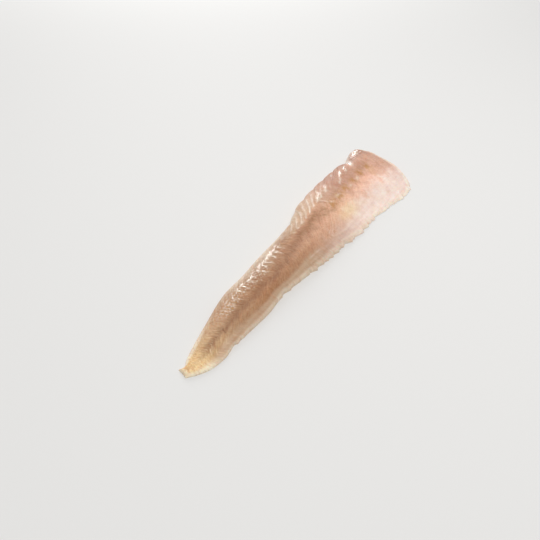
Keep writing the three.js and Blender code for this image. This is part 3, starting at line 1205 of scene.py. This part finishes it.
midline_mask = times(band(wander, MIDLINE_PLACE, MIDLINE_HALF_WIDTH), MIDLINE_STRENGTH)
midline_mask = times(midline_mask, ramp(along, *MIDLINE_ALONG), ramp(along, *MIDLINE_FADE))
colour = blend(midline_mask, colour, MIDLINE_BROWN)
line_mask = times(band(wander, MIDLINE_PLACE, LINE_HALF_WIDTH), LINE_STRENGTH)
line_mask = times(line_mask, ramp(along, *LINE_ALONG), ramp(along, *LINE_FADE))
line_mask = times(line_mask, ramp(noise(object_place, LINE_BREAK_SCALE, detail=3), *LINE_BREAKS))
colour = blend(line_mask, colour, LINE_BROWN)
tailward = ramp(along, *TAIL_EDGE_FADE)
back_reach = plus(sideways, times(ramp(along, *HALF_EDGE_FADE), HALF_EDGE_SPREAD))
back_reach = plus(back_reach, times(tailward, TAIL_EDGE_SPREAD))
edge_dip = times(band(along, EDGE_DIP_PLACE, EDGE_DIP_REACH), EDGE_DIP)
back_strength = plus(edge_dip, times(tailward, TAIL_EDGE_GAIN), EDGE_STRENGTH)
# Pale edges: dry tone with painted light on the rounded back and belly edges.
colour = blend(times(ramp(back_reach, *BACK_EDGE), back_strength), colour, DRY_AND_LIT_EDGE_PALE)
colour = blend(times(ramp(sideways, *BELLY_EDGE), EDGE_STRENGTH), colour, DRY_AND_LIT_EDGE_PALE)
colour = blend(times(mark("golden"), GOLD_STRENGTH), colour, PIN_GOLD)
# A yellow of fat on the flank, and painted light on the tail's cut rim.
colour = blend(times(mark("fat_and_rim_light"), FAT_AND_RIM_LIGHT_STRENGTH), colour, FAT_AND_RIM_LIGHT_YELLOW)
colour = blend(mark("brown_and_gap_shade"), colour, MIDLINE_BROWN)
# White tissue, with painted glints and painted light from the pale mask.
colour = blend(mark("pale"), colour, PALE_AND_GLINT_WHITE)
print("marks painted")

# %% [markdown]
# Thin streaks run beside the muscle lines. They read the row's number, stored as an attribute, so
# they bend as the lines bend. On the tail half some are rosy brown, and on the tail itself some are
# cream.

# %% Coloured streaks
STREAK_STRETCH = (3.0, 2.0)
HUE_SCALE = 0.9
HUE_SHARE = (0.5, 0.72)
HUE_STRENGTH = 0.3
HUE_FADE = (0.6, 0.4)
ROSY_BROWN = to_linear(198, 143, 104)
TAIL_STREAK_STRETCH = (4.2, 2.2)
TAIL_STREAK_SCALE = 1.0
TAIL_STREAK_SHARE = (0.48, 0.74)
TAIL_STREAK_FADE = (0.16, 0.06)
TAIL_STREAK_STRENGTH = 0.42
STREAK_CREAM = to_linear(249, 226, 188)

line_place = along_lines(STREAK_STRETCH)
hues = ramp(noise(line_place, HUE_SCALE, detail=2), *HUE_SHARE)
hues = times(hues, ramp(along, *HUE_FADE), on_top, HUE_STRENGTH)
colour = blend(hues, colour, ROSY_BROWN)
tail_streaks = noise(along_lines(TAIL_STREAK_STRETCH), TAIL_STREAK_SCALE, detail=2)
tail_streaks = times(ramp(tail_streaks, *TAIL_STREAK_SHARE), ramp(along, *TAIL_STREAK_FADE))
tail_streaks = times(tail_streaks, on_top, TAIL_STREAK_STRENGTH)
colour = blend(tail_streaks, colour, STREAK_CREAM)
print("coloured streaks laid over the zones")

# %% [markdown]
# Light and dark follow: streaks along the muscle lines, thin sheets along the rim, and mottling at
# two smaller scales, which makes the flesh look clear and wet instead of painted. A darker shade of
# flesh is also a deeper colour, so the shade moves red less than blue.

# %% Shades
STREAK_SCALE = 1.1
STREAK_STRENGTH = 0.26
FINE_STREAK_SCALE = 2.6
FINE_STREAK_STRENGTH = 0.28
FINE_STREAK_FADE = (0.7, 0.45)
STREAKS_ACROSS = (-0.8, -0.5)
STREAKS_ON_RIM = 0.35
MOTTLE_SCALE = 120
MOTTLE_STRENGTH = 0.16
SPECKLE_SCALE = 420
SPECKLE_STRENGTH = 0.28
SPECKLE_LOSS_ON_RIM = 0.7
SHEET_STRETCH = (0.14, 1.0, 1.0)
SHEET_SCALE = 260
SHEET_STRENGTH = 0.2
DEEPEN = (0.6, 1.0, 1.2)
UNSHADED = (1.0, 1.0, 1.0)

streaks = centred(noise(line_place, STREAK_SCALE, detail=1.5), STREAK_STRENGTH)
fine_streaks = centred(noise(line_place, FINE_STREAK_SCALE, detail=1), FINE_STREAK_STRENGTH)
streaks = plus(streaks, times(fine_streaks, ramp(along, *FINE_STREAK_FADE)))
streaks = times(streaks, calc("MAXIMUM", ramp(flap_reach, *STREAKS_ACROSS), STREAKS_ON_RIM), on_top)
mottle = noise(object_place, MOTTLE_SCALE, detail=3)
speckle = centred(noise(object_place, SPECKLE_SCALE, detail=2), SPECKLE_STRENGTH)
speckle = times(speckle, rest_of(times(rim_mask, SPECKLE_LOSS_ON_RIM)))
sheets = centred(noise(stretched(SHEET_STRETCH), SHEET_SCALE, detail=2), SHEET_STRENGTH)
shade = plus(centred(mottle, MOTTLE_STRENGTH), speckle, times(sheets, rim_mask), streaks)
tint = calc("MULTIPLY_ADD", shade, DEEPEN, UNSHADED, kind="ShaderNodeVectorMath")
tinted = calc("MULTIPLY", colour, tint, kind="ShaderNodeVectorMath")
plug(tinted, shader.inputs["Base Color"])
print("shades laid over the colour")

# %% [markdown]
# ## Wet film
#
# The fillet is moist all over, and a thin clear film of water lies on the ridges and strokes, where
# it mirrors the softbox. Fine fibres run lengthwise under it. They are finer than the mesh, so a bump
# carries them, and they roughen the shine a little. Light also enters the flesh a few millimetres,
# red the deepest, which softens its shadows.

# %% Wet film and fibres
FIBRE_STRETCH = (0.15, 1.0, 1.0)
FIBRE_SCALE = 1100
FIBRE_DEPTH = 0.0005
FIBRE_STRENGTH = 0.3
MOIST_ROUGHNESS = 0.62
MOIST_VARIATION = 0.12
FILM_LEAST = 0.02
CONSTANTS = {
    "Coat Roughness": 0.12,
    "Specular IOR Level": 0.12,
    "Subsurface Weight": 0.2,
    "Subsurface Radius": (1.0, 0.45, 0.25),
    "Subsurface Scale": 0.003,
}

fibres = noise(stretched(FIBRE_STRETCH), FIBRE_SCALE, detail=3)
bump = tree.nodes.new("ShaderNodeBump")
bump.inputs["Strength"].default_value = FIBRE_STRENGTH
bump.inputs["Distance"].default_value = FIBRE_DEPTH
plug(fibres, bump.inputs["Height"])
plug(bump.outputs["Normal"], shader.inputs["Normal"])
plug(plus(MOIST_ROUGHNESS, centred(mottle, MOIST_VARIATION)), shader.inputs["Roughness"])
plug(calc("MAXIMUM", mark("film"), FILM_LEAST), shader.inputs["Coat Weight"])
for name, value in CONSTANTS.items():
    shader.inputs[name].default_value = value
fillet.data.materials.append(flesh)
print("wet film laid on", fillet.name)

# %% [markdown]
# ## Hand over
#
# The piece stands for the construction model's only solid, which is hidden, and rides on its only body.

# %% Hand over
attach(fillet, "root")
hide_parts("fillet")
